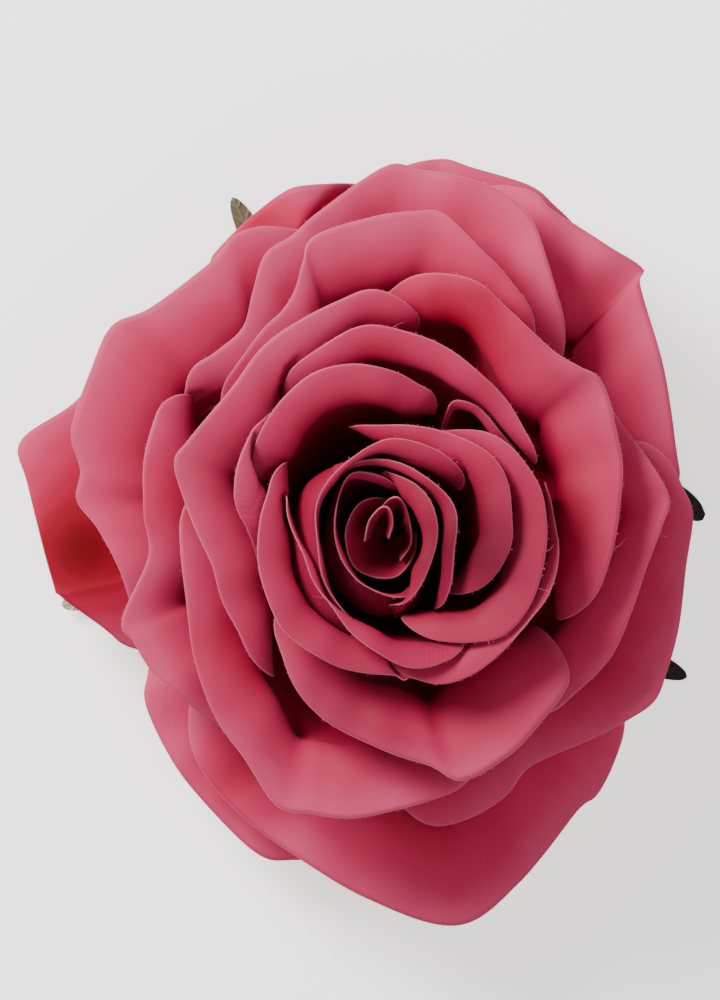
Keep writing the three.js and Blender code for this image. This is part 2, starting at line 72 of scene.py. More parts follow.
# How stiffly a wall keeps its direction at its foot and at its crest, as shares of its length
FOOT_ARM = 0.45
CREST_ARM = 0.35
OVERHANG_ARM = 0.22  # added at the crest of a wall that leans over the bud
OVERHANG_START = 100  # degrees of lean
OVERHANG_RANGE = 20
RUFFLE = 0.3  # height of the waves along a rim
RUFFLE_LENGTH = 10
RUFFLE_PACE = (0.4, 1.4)  # waves in that length
RUFFLE_SEED = 100
PLEATS = 0.5  # depth of the soft pleats from foot to rim
PLEAT_LENGTH = 16
PLEAT_PACE = (0.5, 1.6)
PLEAT_SLANT = 0.4
PLEAT_SEED = 300
CORNER = 0.12  # share of the rim that a rounded corner takes at each end
CORNER_DEPTH = 0.5  # share of the way from foot to rim that it takes

FIBRES_PER_MM = 0.8  # loose fibres on the cut edges
FIBRE_RADIUS = 0.035
FIBRE_TAPER = 0.6  # share of its radius that a fibre loses on its way
FIBRE_REACH = (0.12, 0.45)
THREAD_REACH = (0.9, 1.8)
THREAD_SHARE = 0.012  # of the fibres that are longer threads
FIBRE_SEED = 500

# Painted shade, darker in the deep middle and in folds: a place, how far the patch reaches in mm, and by what
# share it is darker
PAINTED_SHADE_PATCHES = [
    ((13, -1, 54), 9, 0.42), ((0, -2, 44), 38, 0.40), ((-6, -24, 46), 8, 0.24), ((-44, -2, 12), 8, 0.10),
]
# Painted shade that deepens the crimson in the middle and in folds: a place, how far the patch reaches in mm,
# and by how many mm it moves the colour
PAINTED_FOLD_SHADE_PATCHES = [
    ((3, 0, 52), 22, 12), ((12, 31, 46), 8, 14), ((-44, -2, 12), 9, 34), ((-19, 44, 18), 6, 16),
    ((-30, 6, 34), 6, 12), ((-2, 27, 48), 5, 12), ((24, 3, 40), 9, 16), ((-22, -14, 38), 7, 10),
    ((-24, 24, 40), 5, 12), ((-22, -34, 20), 6, 12), ((27, 22, 36), 5, 10), ((8, 30, 40), 6, 12),
]
# The colour darkens from the rim to the foot: partly the darker dye at the petal's base, partly painted shade
# deepening into the cup
DYE_AND_SHADE_DEPTH = 40.0  # from the rim to the deepest colour
DYE_WANDER = 9.0
CUT_WIDTH = 0.22  # of the pale cut edge
RIB_WIDTH = 0.42  # of the weave
RIB_HEIGHT = 0.30

# The camera looks straight down, a little beside the flower's axis. The sizes of the studio are in metres.
PICTURE_HEIGHT = 0.140
SHARP_HEIGHT = 0.035  # where the picture is PICTURE_HEIGHT tall
CAMERA_ASIDE = (-0.0035, 0.0056)
CAMERA_HEIGHT = 3.0
FLOOR_REACH = 1.2
LIGHT_TARGET = (0, 0, 0.03)

# Each petal: its name, the width of its turned-out lip in mm, how far its wall leans in degrees (90 is
# upright, more leans over the bud), how far round its lip turns in degrees (90 ends level, more hangs), and
# the points that its rim runs through. A list of widths or leans runs along the rim. The order is from the
# bud outwards.
PETALS = [
    ("bud_wrap_left", [1, 0.6, 0.4, 0.4, 0.4, 1], [95, 98, 104, 116, 118, 112], 80,
        [[3, 7.2, 50], [-1, 8.9, 52.5], [-4.9, 9, 53], [-7, 4.6, 53.5], [-7, 0, 53], [-4, -5.4, 52.5],
        [-0.4, -7.7, 52], [3, -7.9, 51], [5, -6.2, 49]]),
    ("bud_wrap_right", [1.5, 3, 3.2, 3, 1.5], 88, 70, [[-1.6, 9.8, 50], [1.5, 9.2, 53], [4.6, 7.6, 54],
        [6.6, 4.8, 54.5], [7.2, 0.8, 54.5], [6.2, -4.4, 54], [3.6, -8, 53], [0, -9.4, 50]]),
    ("bud_scroll", [1, 1, 1.8, 2, 2], 92, 75, [[-8, 7, 50], [-6.4, 9.8, 53], [-2.6, 11.2, 54.5],
        [2.2, 10.6, 55], [6.4, 8.6, 55.5], [9.2, 5.4, 55.5], [10, 1.4, 55.5], [9.2, -5.2, 54.5],
        [8.2, -8.6, 52.5], [7, -11, 49]]),
    ("inner_petal_top_left", [2.5, 3.5, 1.5, 0.5, 0.5, 0.5], [90, 92, 102, 115, 122, 112], 85,
        [[11.8, 6.8, 50], [10.7, 9.5, 54], [7, 12.8, 56], [0.4, 14.1, 56.5], [-5.9, 10.5, 56],
        [-9.2, 5.7, 56], [-9.8, 0.5, 55.5], [-8.7, -4.5, 55], [-6.2, -9.5, 53.5], [-3, -13, 50.5]]),
    ("inner_petal_right", [2, 3, 4.4, 4.6, 4.6, 4], 90, 82, [[-6.3, 16.6, 46], [-2.5, 16, 50.5],
        [3.5, 16, 54.2], [10.5, 14.4, 55.2], [14.8, 11.8, 56], [17.2, 7.5, 56], [17.8, 2, 56],
        [17.1, -1.6, 55.5], [14.4, -6, 54], [9.4, -9.2, 51.5]]),
    ("inner_petal_far_right", [2, 3, 4.5, 5.5, 5.5, 5, 4], 90, 82, [[5.4, 15.8, 48], [9.8, 15.4, 51.5],
        [14.2, 14.9, 54], [18, 12.6, 55], [21.4, 8, 55], [22.3, 3, 55], [22.2, -3, 54.8], [20.6, -8.4, 54.3],
        [16.9, -12.9, 53.8], [12.5, -14.2, 53.3], [6.4, -14, 52.5], [1.6, -12.8, 50.5]]),
    ("inner_petal_bottom_left", [1, 1, 1.2, 2, 3.5, 4, 4], [95, 95, 95, 92, 90, 90, 90], 82,
        [[-14.2, 7.5, 50], [-13.4, 3, 52.5], [-11.4, -2.4, 54], [-8.3, -8.1, 54.5], [-4.8, -12.8, 55],
        [-0.7, -16, 55], [3.5, -17.6, 54.5], [8.6, -16.8, 53.5], [13.6, -14.4, 51]]),
    ("inner_petal_lower_right", [1, 1.5, 2, 4, 5, 5], 92, 82, [[22.4, 9.5, 48], [23.6, 3.4, 51],
        [24, -2, 53], [22.6, -8, 53.5], [19.2, -12.2, 53.5], [16.1, -15.6, 53], [12.2, -18.6, 53],
        [7.7, -20, 52.5], [3.2, -19.2, 51], [-1, -17.8, 48]]),
    ("inner_petal_lower_left", [3.5, 4.4, 4.6, 5, 5, 5], 90, 82, [[-14.4, 13, 48.5], [-16, 7.6, 51.5],
        [-17.6, 2.8, 52.5], [-17.5, -4.9, 53], [-15, -11.2, 53], [-12.2, -14.3, 52.7], [-9.5, -16.2, 52.5],
        [-6.1, -17.8, 52], [-1.4, -18.7, 51.5], [3.6, -19, 50.5], [7, -19.5, 48]]),
    ("cup_petal_top_left", [4, 5.5, 5.5, 5.5, 5, 3.5], 90, 82, [[-19, 8, 46.5], [-18.2, 13, 50],
        [-16.4, 17, 52], [-14, 20.2, 52.5], [-9.8, 23.3, 53], [-4.2, 24.6, 53], [1, 23.6, 52.5],
        [4.6, 21.8, 51], [6.9, 20.6, 49.5], [8.2, 19, 46.5]]),
    ("cup_petal_left", [4, 5.5, 5.5, 5], 90, 82, [[-13.6, 19.6, 46], [-17.8, 15.8, 50.5], [-20.5, 11, 52],
        [-21.1, 6.7, 52.2], [-20.5, 4, 51.7], [-19.4, 1.8, 50.8], [-18.2, -1.5, 48.5], [-17.4, -5, 45.5]]),
    ("cup_petal_small", [1, 1.2, 1.2, 1], 96, 80, [[7.6, 14.6, 44], [8.6, 17.8, 46.5], [9.8, 19.6, 47],
        [13, 18.6, 47], [16, 15.2, 46], [19.5, 11.4, 43]]),
    ("cup_petal_top", [4, 5, 5, 4, 3, 2.5], 90, 82, [[-16, 19.4, 45], [-12.2, 24.6, 48.5], [-7, 28.3, 50.5],
        [-2.4, 30, 51], [2.8, 29.2, 51], [8.4, 26.8, 51], [13, 23.6, 51], [17.3, 19, 50], [21, 13, 48.5],
        [22.6, 10, 46]]),
    ("middle_petal_bottom", [6, 7, 8, 10, 13, 14, 9], 86, 80, [[-16.8, -6.4, 42], [-15.6, -13, 44.5],
        [-13, -19.6, 46.5], [-9.3, -24.4, 47], [-4.9, -27.2, 47.5], [0.7, -29.8, 47.5], [6.3, -31.5, 47],
        [10.8, -33.6, 46.5], [16.5, -30.5, 46.5], [20.6, -27, 46.5], [24.6, -22, 45.8], [26, -18, 44.5],
        [25.6, -12.5, 41.5]]),
    ("middle_petal_left", [6, 7, 8, 9, 9, 8, 7, 6], 88, 80, [[6.2, 31, 43], [4.8, 33, 46.5],
        [-1.4, 35, 48], [-6.3, 33.4, 48.7], [-11.9, 30.8, 49], [-17.5, 26.3, 49], [-22.8, 19.6, 48.5],
        [-27.4, 14, 47.5], [-29.4, 10.8, 47], [-27.8, 4.9, 47], [-24.6, -2.8, 47.5], [-22, -9.8, 47],
        [-18.6, -17.3, 45.5], [-16, -23, 42]]),
    ("middle_petal_right", [6, 7, 8, 10, 11, 9, 8, 7], 86, 80, [[-3.4, 34.4, 42.5], [4.6, 37, 46.5],
        [9.5, 37.2, 47.5], [13.3, 35.8, 48], [16.8, 32.5, 48], [23.1, 26.8, 48], [27.3, 24.2, 47.5],
        [30.3, 21.8, 47], [32.9, 12.6, 47], [32.9, 5.6, 47.5], [31.4, -2.8, 47.5], [29, -8.8, 46.5],
        [26.4, -14.4, 43.5]]),
    ("wide_petal_top", [7, 9, 10, 11, 10, 9], 86, 84, [[-25.6, 15, 37], [-22.4, 22, 40], [-17.5, 29, 42],
        [-14.5, 32, 42.5], [-12.6, 35, 43], [-11.4, 39, 43], [-9.9, 42.4, 42.5], [-2.1, 45.1, 42],
        [4, 46, 42], [8.2, 45.6, 42], [13.3, 40.6, 43], [16.4, 37.6, 43], [20.4, 32.6, 42], [24, 27, 38]]),
    ("wide_petal_right", [7, 8, 8, 8, 8], 86, 84, [[28.6, 25, 37], [32, 18, 40.5], [37.1, 10.7, 42.5],
        [39.7, 5.9, 42], [38.9, 2.4, 42], [36.4, -4.2, 42.5], [34.6, -9.8, 42.5], [32.2, -15.1, 42],
        [28.9, -19.4, 41], [24.8, -23.2, 39], [20, -27.4, 35]]),
    ("wide_petal_bottom_left", [7, 9, 9, 10, 10, 9], 86, 84, [[-28.4, 11, 37], [-28.8, 2, 40],
        [-28.2, -5.6, 41], [-26.6, -16.8, 41], [-23.8, -24.6, 41], [-19.6, -30.7, 40.5], [-15.2, -37.2, 39.5],
        [-10.5, -38.3, 40], [-4.9, -38.9, 40.5], [0.7, -37.9, 40.5], [6, -36.6, 40], [11.6, -34.4, 38],
        [17, -31, 34]]),
    ("wide_petal_left", [8, 9, 10, 10, 9], 84, 90, [[-29, 24, 31], [-32, 18, 34], [-33.8, 11, 35.5],
        [-33.8, 4, 36], [-33.2, -2.5, 35.5], [-36.9, -11.3, 34], [-35.3, -14.3, 34], [-32.6, -18.5, 34.5],
        [-29.4, -21.4, 34.5], [-25.2, -25, 33], [-20, -29.6, 30]]),
    ("outer_petal_top", [9, 11, 12, 13, 12, 11], 84, 92,
        [[-32, 17, 27], [-28, 23.4, 31], [-23.8, 26.2, 33.5], [-20, 29.8, 34.5], [-18.6, 34.5, 35],
        [-16.8, 40, 35], [-12.9, 42.8, 34.5], [-9.5, 45.8, 34.5],
        [0, 52.4, 33], [4.9, 51.9, 33.5], [11.2, 50.8, 34], [16.8, 48.6, 34], [20.5, 45, 34.5],
        [22.8, 39.2, 35], [25, 31.6, 34.5], [28.4, 22.6, 31]]),
    ("outer_petal_lower_right", [9, 10, 10, 10, 10, 9], 84, 92, [[37.6, 18, 29], [41.3, 8.4, 33.5],
        [43.1, 3.5, 34], [42.1, -4.2, 34.5], [41.3, -11.9, 34.5], [39.5, -18.5, 34], [37.8, -22.5, 33.5],
        [34, -25.2, 34], [28.7, -28, 34.5], [23.1, -30.3, 35], [19.6, -32.4, 35], [16.8, -35.9, 34.5],
        [11.9, -39, 34], [6.3, -40, 33], [-1.5, -38.6, 29]]),
    ("outer_petal_upper_left", [10, 12, 14, 14, 12, 10], 82, 92, [[-5, 45.6, 23], [-13, 44, 26.5],
        [-17.5, 44, 27.5], [-21.4, 42.6, 28], [-24.5, 39, 28.5], [-33, 32.6, 28], [-38.4, 30, 27],
        [-41.3, 23.8, 27], [-44.1, 15.5, 27], [-42.8, 9.8, 27], [-43.3, 5.6, 26.5], [-40.3, 1.6, 27.5],
        [-37.4, -4, 28], [-35.4, -10, 26.5], [-32.6, -18, 23]]),
    ("outer_petal_upper_right", [10, 12, 14, 14, 12, 10], 82, 92, [[9, 50.4, 22], [16.8, 49.8, 24.5],
        [21, 48.8, 25.5], [23.6, 46.3, 26], [30.8, 41.7, 26.5], [36.2, 38.2, 25.5], [35.9, 35.7, 26],
        [38.9, 25.2, 27.5], [40.2, 18.2, 27.5], [41.2, 11.2, 26.5], [42.6, 2.5, 23]]),
    ("back_petal_top", [12, 14, 12], 80, 98, [[-8, 48, 14], [2, 52.4, 19], [8, 53.6, 20], [12, 52.5, 20.5],
        [20.3, 49.9, 20.5], [24, 47, 19], [29.6, 41.6, 14]]),
    ("back_petal_bottom", [11, 13, 15, 15, 13, 11], 80, 98, [[36, -16.6, 16], [34.2, -25.5, 19],
        [32.2, -31.5, 20.5], [29.8, -36, 20.5], [27, -38.3, 21], [18.9, -48.3, 20.5], [10.2, -54.3, 19.5],
        [-2.1, -50.7, 21], [-14.7, -43.1, 21.5], [-21, -38.1, 22], [-25.9, -32.2, 22], [-28.2, -26, 21],
        [-30.4, -18, 18]]),
    ("back_petal_top_left", [12, 14, 12], 80, 98, [[-27, 37, 11], [-21.4, 43.2, 15], [-14.7, 48.7, 18],
        [-10.5, 50, 18.5], [-3, 50, 16.5], [5, 48.6, 12]]),
    ("back_petal_bottom_left", [12, 14, 12], 80, 98, [[-32, -9.6, 10], [-33.4, -18.6, 12], [-33.8, -23, 13],
        [-30.8, -29.8, 13.5], [-26.6, -35.8, 13.5], [-18.2, -44.2, 12.5], [-12.6, -45.2, 11],
        [-4, -44.2, 8]]),
    ("back_petal_left", [12, 14, 14, 12], 80, 98, [[-38.6, 25.6, 9], [-43.8, 19.4, 11.5], [-51.4, 13.9, 12.3],
        [-50.4, 7.7, 12.8], [-46.9, -5.9, 12.6], [-45.5, -8.2, 12.6], [-38.4, -13.6, 10.8], [-34, -19, 8]]),
]


# ---- Shapes ----

class Crowd:
    """The space that is already taken: how far from the flower's axis petals lie, as an angle, for each
    direction around the axis and each distance from the middle of the core."""

    DIRECTIONS = 360
    RINGS = 208
    RING_STEP = 0.3
    STEEPEST = 1.1
    PASSES = 20

    def __init__(self, bud_radius):
        self.distances = FOOT_DISTANCE - 1 + np.arange(self.RINGS) * self.RING_STEP
        self.taken = np.repeat(np.arctan(bud_radius / self.distances)[:, None], self.DIRECTIONS, axis=1)

    def place(self, turn, distance):
        column = np.mod(turn / (2 * np.pi), 1) * self.DIRECTIONS
        ring = np.clip((distance - self.distances[0]) / self.RING_STEP, 0, self.RINGS - 1.001)
        return column, ring

    def angle_at(self, turn, distance):
        column, ring = self.place(turn, distance)
        c = np.floor(column).astype(int)
        r = np.floor(ring).astype(int)
        x, y = column - c, ring - r
        c %= self.DIRECTIONS
        after = (c + 1) % self.DIRECTIONS
        low = self.taken[r, c] * (1 - x) + self.taken[r, after] * x
        high = self.taken[r + 1, c] * (1 - x) + self.taken[r + 1, after] * x
        return low * (1 - y) + high * y

    def add(self, turn, distance, angle):
        column, ring = self.place(turn, distance)
        c = np.floor(column).astype(int) % self.DIRECTIONS
        r = np.floor(ring).astype(int)
        for side in (0, 1):
            for up in (0, 1):
                np.maximum.at(self.taken, (r + up, (c + side) % self.DIRECTIONS), angle)
        self.soften()

    def soften(self):
        sideways = self.STEEPEST * 2 * np.pi / self.DIRECTIONS
        outwards = (self.STEEPEST * self.RING_STEP / self.distances)[:, None]
        for _ in range(self.PASSES):
            t = self.taken
            t = np.maximum(t, np.roll(t, 1, axis=1) - sideways)
            t = np.maximum(t, np.roll(t, -1, axis=1) - sideways)
            t[1:] = np.maximum(t[1:], (t - outwards)[:-1])
            t[:-1] = np.maximum(t[:-1], (t - outwards)[1:])
            self.taken = t


def smooth_curve(points, count):
    """Even steps along the smooth curve through the points."""
    p = np.array(points, float)
    ends = np.vstack([2 * p[0] - p[1], p, 2 * p[-1] - p[-2]])
    u = np.linspace(0, 1, 60, endpoint=False)[:, None]
    stretches = []
    for k in range(1, len(ends) - 2):
        a, b, c, d = ends[k - 1:k + 3]
        stretches.append(0.5 * (2 * b + (c - a) * u + (2 * a - 5 * b + 4 * c - d) * u**2
                                + (3 * b - a - 3 * c + d) * u**3))
    line = np.vstack(stretches + [p[-1:]])
    lengths = np.concatenate([[0], np.cumsum(np.linalg.norm(np.diff(line, axis=0), axis=1))])
    at = np.linspace(0, lengths[-1], count)
    return np.stack([np.interp(at, lengths, line[:, k]) for k in range(3)], axis=1), lengths[-1]


def mix(a, b, x):
    return a + (b - a) * x


def waves(x, seed, low, high, count=5):
    """Smooth uneven waves of about unit height."""
    rng = np.random.RandomState(seed)
    total = np.zeros_like(x)
    for _ in range(count):
        total = total + rng.uniform(0.4, 1) * np.sin(x * rng.uniform(low, high) * 2 * np.pi
                                                     + rng.uniform(0, 2 * np.pi))
    return total / count


def smooth_max(a, b, width):
    """The larger of two values, passing softly from one to the other."""
    return (a + b + np.sqrt((a - b) ** 2 + width**2)) / 2


def along(values, s):
    """A value that runs through the given ones, evenly spaced along the rim, at each share ``s`` of it."""
    values = np.atleast_1d(np.array(values, float))
    if len(values) == 1:
        return np.full_like(s, values[0])
    x = s * (len(values) - 1)
    k = np.minimum(np.floor(x).astype(int), len(values) - 2)
    u = x - k
    u = u * u * (3 - 2 * u)
    return values[k] * (1 - u) + values[k + 1] * u


def smoothed(grid, passes=40):
    """The grid with its unevenness along the rim evened out."""
    for _ in range(passes):
        padded = np.vstack([grid[:1], grid, grid[-1:]])
        grid = (padded[:-2] + 2 * grid + padded[2:]) / 4
    return grid


def petal_profile(order, s, radius, height, lip, lean, turned):
    """The lines up a petal from foot to rim, [along the rim, up, (distance from the axis, height)]. The wall
    is a cubic curve from the core to the crest, and the lip is part of an ellipse. ``order`` is 0 at the bud
    and 1 outside."""
    end_weight = np.abs(2 * s - 1) ** 5
    width = along(lip, s) * (1 - LIP_NARROWING * end_weight)
    depth = (mix(*LIP_DEPTHS, max(2 * order - 1, 0)) * width + LEAST_LIP_DEPTH) * (1 + end_weight)
    lean = along(lean, s)
    turned = np.radians(along(turned, s))[:, None]
    foot_angle = math.radians(mix(*FOOT_ANGLES, order))
    foot_way = np.array([math.sin(foot_angle), math.cos(foot_angle)])
    foot = np.array([0, CORE_HEIGHT]) + FOOT_DISTANCE * foot_way
    crest = np.stack([radius - width, height - depth], axis=1)
    reach = np.linalg.norm(crest - foot, axis=1)[:, None]
    leave = math.radians(mix(*LEAVING_ANGLES, order))
    first = foot + FOOT_ARM * reach * np.array([math.cos(leave), math.sin(leave)])
    overhang = np.clip((lean - OVERHANG_START) / OVERHANG_RANGE, 0, 1)[:, None]
    lean = np.radians(lean)
    arm = (CREST_ARM + OVERHANG_ARM * overhang) * reach
    second = crest - arm * np.stack([np.cos(lean), np.sin(lean)], axis=1)
    wall_steps = int(UP * WALL_SHARE)
    t = np.linspace(0, 1, wall_steps, endpoint=False)[None, :, None]
    wall = ((1 - t) ** 3 * foot + 3 * (1 - t) ** 2 * t * first[:, None]
            + 3 * (1 - t) * t**2 * second[:, None] + t**3 * crest[:, None])
    bend = np.linspace(0, 1, UP + 1 - wall_steps)[None, :] * turned
    lip_out = crest[:, :1] + width[:, None] * (1 - np.cos(bend)) / (1 - np.cos(turned))
    lip_up = crest[:, 1:] + depth[:, None] * np.sin(bend) / np.sin(turned)
    return np.concatenate([wall, np.stack([lip_out, lip_up], axis=-1)], axis=1)


def with_round_corners(profile, s):
    """The same lines, stopped short of the rim near the petal's ends, and how far up each point lies."""
    beyond = np.clip((np.abs(2 * s - 1) - (1 - 2 * CORNER)) / (2 * CORNER), 0, 1)
    reach_up = 1 - CORNER_DEPTH * (1 - np.sqrt(1 - beyond**2 * 0.999))
    steps = np.linspace(0, 1, UP + 1)[None, :] * reach_up[:, None] * UP
    k = np.minimum(np.floor(steps).astype(int), UP - 1)
    part = (steps - k)[..., None]
    rows = np.arange(len(s))[:, None]
    return profile[rows, k] * (1 - part) + profile[rows, k + 1] * part, steps / UP


def petal_grid(index, lip, lean, turned, rim_points, crowd):
    """The points of one petal, [along the rim, up the petal, xyz]. It leaves the core outwards, rises as the
    wall of a cup, turns out in a lip, and lies on the petals inside it where it would pass through them."""
    order = index / (len(PETALS) - 1)
    _, length = smooth_curve(rim_points, 10)
    across = int(np.clip(length / GRID_STEP, *ACROSS_LIMITS))
    rim, length = smooth_curve(rim_points, across + 1)
    s = np.linspace(0, 1, across + 1)
    turn_rim = np.unwrap(np.arctan2(rim[:, 1], rim[:, 0]))
    radius = np.hypot(rim[:, 0], rim[:, 1])
    ruffle = RUFFLE * waves(s * length / RUFFLE_LENGTH, RUFFLE_SEED + index, *RUFFLE_PACE)
    height = rim[:, 2] + ruffle * np.sin(np.pi * s)
    profile, t = with_round_corners(petal_profile(order, s, radius, height, lip, lean, turned), s)
    middle = (turn_rim[0] + turn_rim[-1]) / 2
    turn_foot = mix(middle, turn_rim, mix(*NARROWING, order))
    turn = mix(turn_foot[:, None], turn_rim[:, None], np.sin(t * np.pi / 2))
    x, z = profile[..., 0], profile[..., 1] - CORE_HEIGHT
    distance = np.maximum(np.hypot(x, z), FOOT_DISTANCE)
    pleat_place = turn * radius.mean() / PLEAT_LENGTH + t * PLEAT_SLANT
    pleats = waves(pleat_place, PLEAT_SEED + index, *PLEAT_PACE) * PLEATS * t
    wanted = np.arctan2(x, z) + pleats / distance
    free = crowd.angle_at(turn, distance)
    free = np.maximum(smoothed(free), free - SPACING_GIVE / distance) + PETAL_SPACING / distance
    angle = smooth_max(wanted, free, SPACING_BLEND / distance)
    crowd.add(turn.ravel(), distance.ravel(), angle.ravel())
    flat = distance * np.sin(angle)
    height = CORE_HEIGHT + distance * np.cos(angle)
    points = np.stack([flat * np.cos(turn), flat * np.sin(turn), height], axis=-1)
    return points[::-1] if turn_rim[0] > turn_rim[-1] else points


def sheet_faces(rows, columns):
    """The quads of a closed sheet: its top, its underside and its four edges. The points of the top come
    after those of the underside."""
    n = rows * columns
    i, j = np.meshgrid(np.arange(rows - 1), np.arange(columns - 1), indexing="ij")
    a = (i * columns + j).ravel()
    b = a + columns
    c = b + 1
    d = a + 1
    quads = [np.stack([a + n, b + n, c + n, d + n], 1), np.stack([a, d, c, b], 1)]
    k = np.arange(rows - 1) * columns
    quads.append(np.stack([k, k + columns, k + columns + n, k + n], 1))
    k = k + columns - 1
    quads.append(np.stack([k + n, k + columns + n, k + columns, k], 1))
    k = np.arange(columns - 1)
    quads.append(np.stack([k + n, k + 1 + n, k + 1, k], 1))
    k = k + (rows - 1) * columns
    quads.append(np.stack([k, k + 1, k + 1 + n, k + n], 1))
    return np.concatenate(quads)


def quad_mesh(name, vertices, faces):
    mesh = bpy.data.meshes.new(name)
    mesh.vertices.add(len(vertices))
    mesh.vertices.foreach_set("co", vertices.ravel())
    mesh.loops.add(faces.size)
    mesh.loops.foreach_set("vertex_index", faces.ravel().astype(np.int32))
    mesh.polygons.add(len(faces))
    mesh.polygons.foreach_set("loop_start", np.arange(0, faces.size, 4, dtype=np.int32))
    mesh.update(calc_edges=True)
    mesh.validate()
    mesh.polygons.foreach_set("use_smooth", np.ones(len(mesh.polygons), dtype=bool))
    return mesh


def strength_at(points, patches):
    """How strong the patches together are at each point."""
    return sum(strength * np.exp(-(np.linalg.norm(points - np.array(place), axis=2) / size) ** 2)
               for place, size, strength in patches)


def linked(name, data):
    """A new object in the scene."""
    thing = bpy.data.objects.new(name, data)
    bpy.context.scene.collection.objects.link(thing)
    return thing


def sheet_piece(name, points, thickness, **marks):
    """A closed sheet around a grid of points, as an object in metres. Each of its points knows its distance
    from the sheet's edge and from its rim, in mm, and how much painted shade darkens and deepens its colour.
    Its uv is in mm."""
    rows, columns = points.shape[:2]
    du = np.gradient(points, axis=0)
    dv = np.gradient(points, axis=1)
    normal = np.cross(du, dv)
    normal /= np.linalg.norm(normal, axis=2, keepdims=True) + 1e-12
    up_steps = np.linalg.norm(np.diff(points, axis=1), axis=2)
    v = np.concatenate([np.zeros((rows, 1)), np.cumsum(up_steps, axis=1)], axis=1)
    along_steps = np.linalg.norm(np.diff(points, axis=0), axis=2)
    u = np.concatenate([np.zeros((1, columns)), np.cumsum(along_steps, axis=0)], axis=0)
    to_rim = v[:, -1:] - v
    edge = np.minimum(to_rim, np.minimum(u, u[-1:] - u))
    low = (points - normal * thickness / 2 + AXIS) * MM
    high = (points + normal * thickness / 2 + AXIS) * MM
    faces = sheet_faces(rows, columns)
    mesh = quad_mesh(name, np.concatenate([low.reshape(-1, 3), high.reshape(-1, 3)]), faces)
    # The patch marks carry painted shade: how far the colour is pushed towards deep crimson, and by what
    # share it is darkened, in the middle and in folds
    marks.update(edge_mm=edge, rim_mm=to_rim, red_mm=strength_at(points, PAINTED_FOLD_SHADE_PATCHES),
                 dark=strength_at(points, PAINTED_SHADE_PATCHES))
    for label, values in marks.items():
        layer = mesh.attributes.new(label, "FLOAT", "POINT")
        layer.data.foreach_set("value", np.tile(values.ravel(), 2).astype(np.float32))
    uv = mesh.uv_layers.new(name="weave")
    coordinates = np.tile(np.stack([u, v], axis=-1).reshape(-1, 2), (2, 1))
    uv.data.foreach_set("uv", coordinates[faces.ravel()].ravel().astype(np.float32))
    return linked(name, mesh)


def frayed_edge(name, points, seed):
    """Short loose fibres along the rim of a petal, and now and then a longer thread. Each is a bent rod of
    three sides."""
    rng = np.random.RandomState(seed)
    rim, inside = points[:, -1], points[:, -3]
    length = np.linalg.norm(np.diff(rim, axis=0), axis=1).sum()
    vertices, faces = [], []
    for _ in range(int(length * FIBRES_PER_MM)):
        k = rng.randint(2, len(rim) - 2)
        outward = rim[k] - inside[k]
        outward /= np.linalg.norm(outward) + 1e-9
        sideways = rim[k + 1] - rim[k - 1]
        sideways /= np.linalg.norm(sideways) + 1e-9
        is_thread = rng.rand() < THREAD_SHARE
        reach = rng.uniform(*(THREAD_REACH if is_thread else FIBRE_REACH))
        lean = rng.uniform(-0.9, 0.9)
        curl = rng.uniform(-0.6, 0.6)
        lift = rng.uniform(-0.2, 0.5)
        start = rim[k] - outward * 0.05
        across = np.cross(outward, sideways)
        for t in (0, 0.5, 1):
            way = outward * t + sideways * (lean * t + curl * t * t) + np.array([0, 0, lift * t * t])
            place = start + way * reach
            radius = FIBRE_RADIUS * (1 - FIBRE_TAPER * t)
            first = len(vertices)
            for turn in range(3):
                angle = turn * 2 * np.pi / 3
                side = np.cos(angle) * sideways + np.sin(angle) * across
                vertices.append((place + radius * side + AXIS) * MM)
            if t:
                for turn in range(3):
                    after = (turn + 1) % 3
                    faces.append((first - 3 + turn, first - 3 + after, first + after, first + turn))
        faces += [(first, first + 1, first + 2), (first - 6, first - 4, first - 5)]
    mesh = bpy.data.meshes.new(name)
    mesh.from_pydata(vertices, [], faces)
    return linked(name, mesh)


def joined(pieces):
    """The pieces as one object, the first of them."""
    with bpy.context.temp_override(active_object=pieces[0], selected_editable_objects=pieces):
        bpy.ops.object.join()
    return pieces[0]


# ---- Materials ----

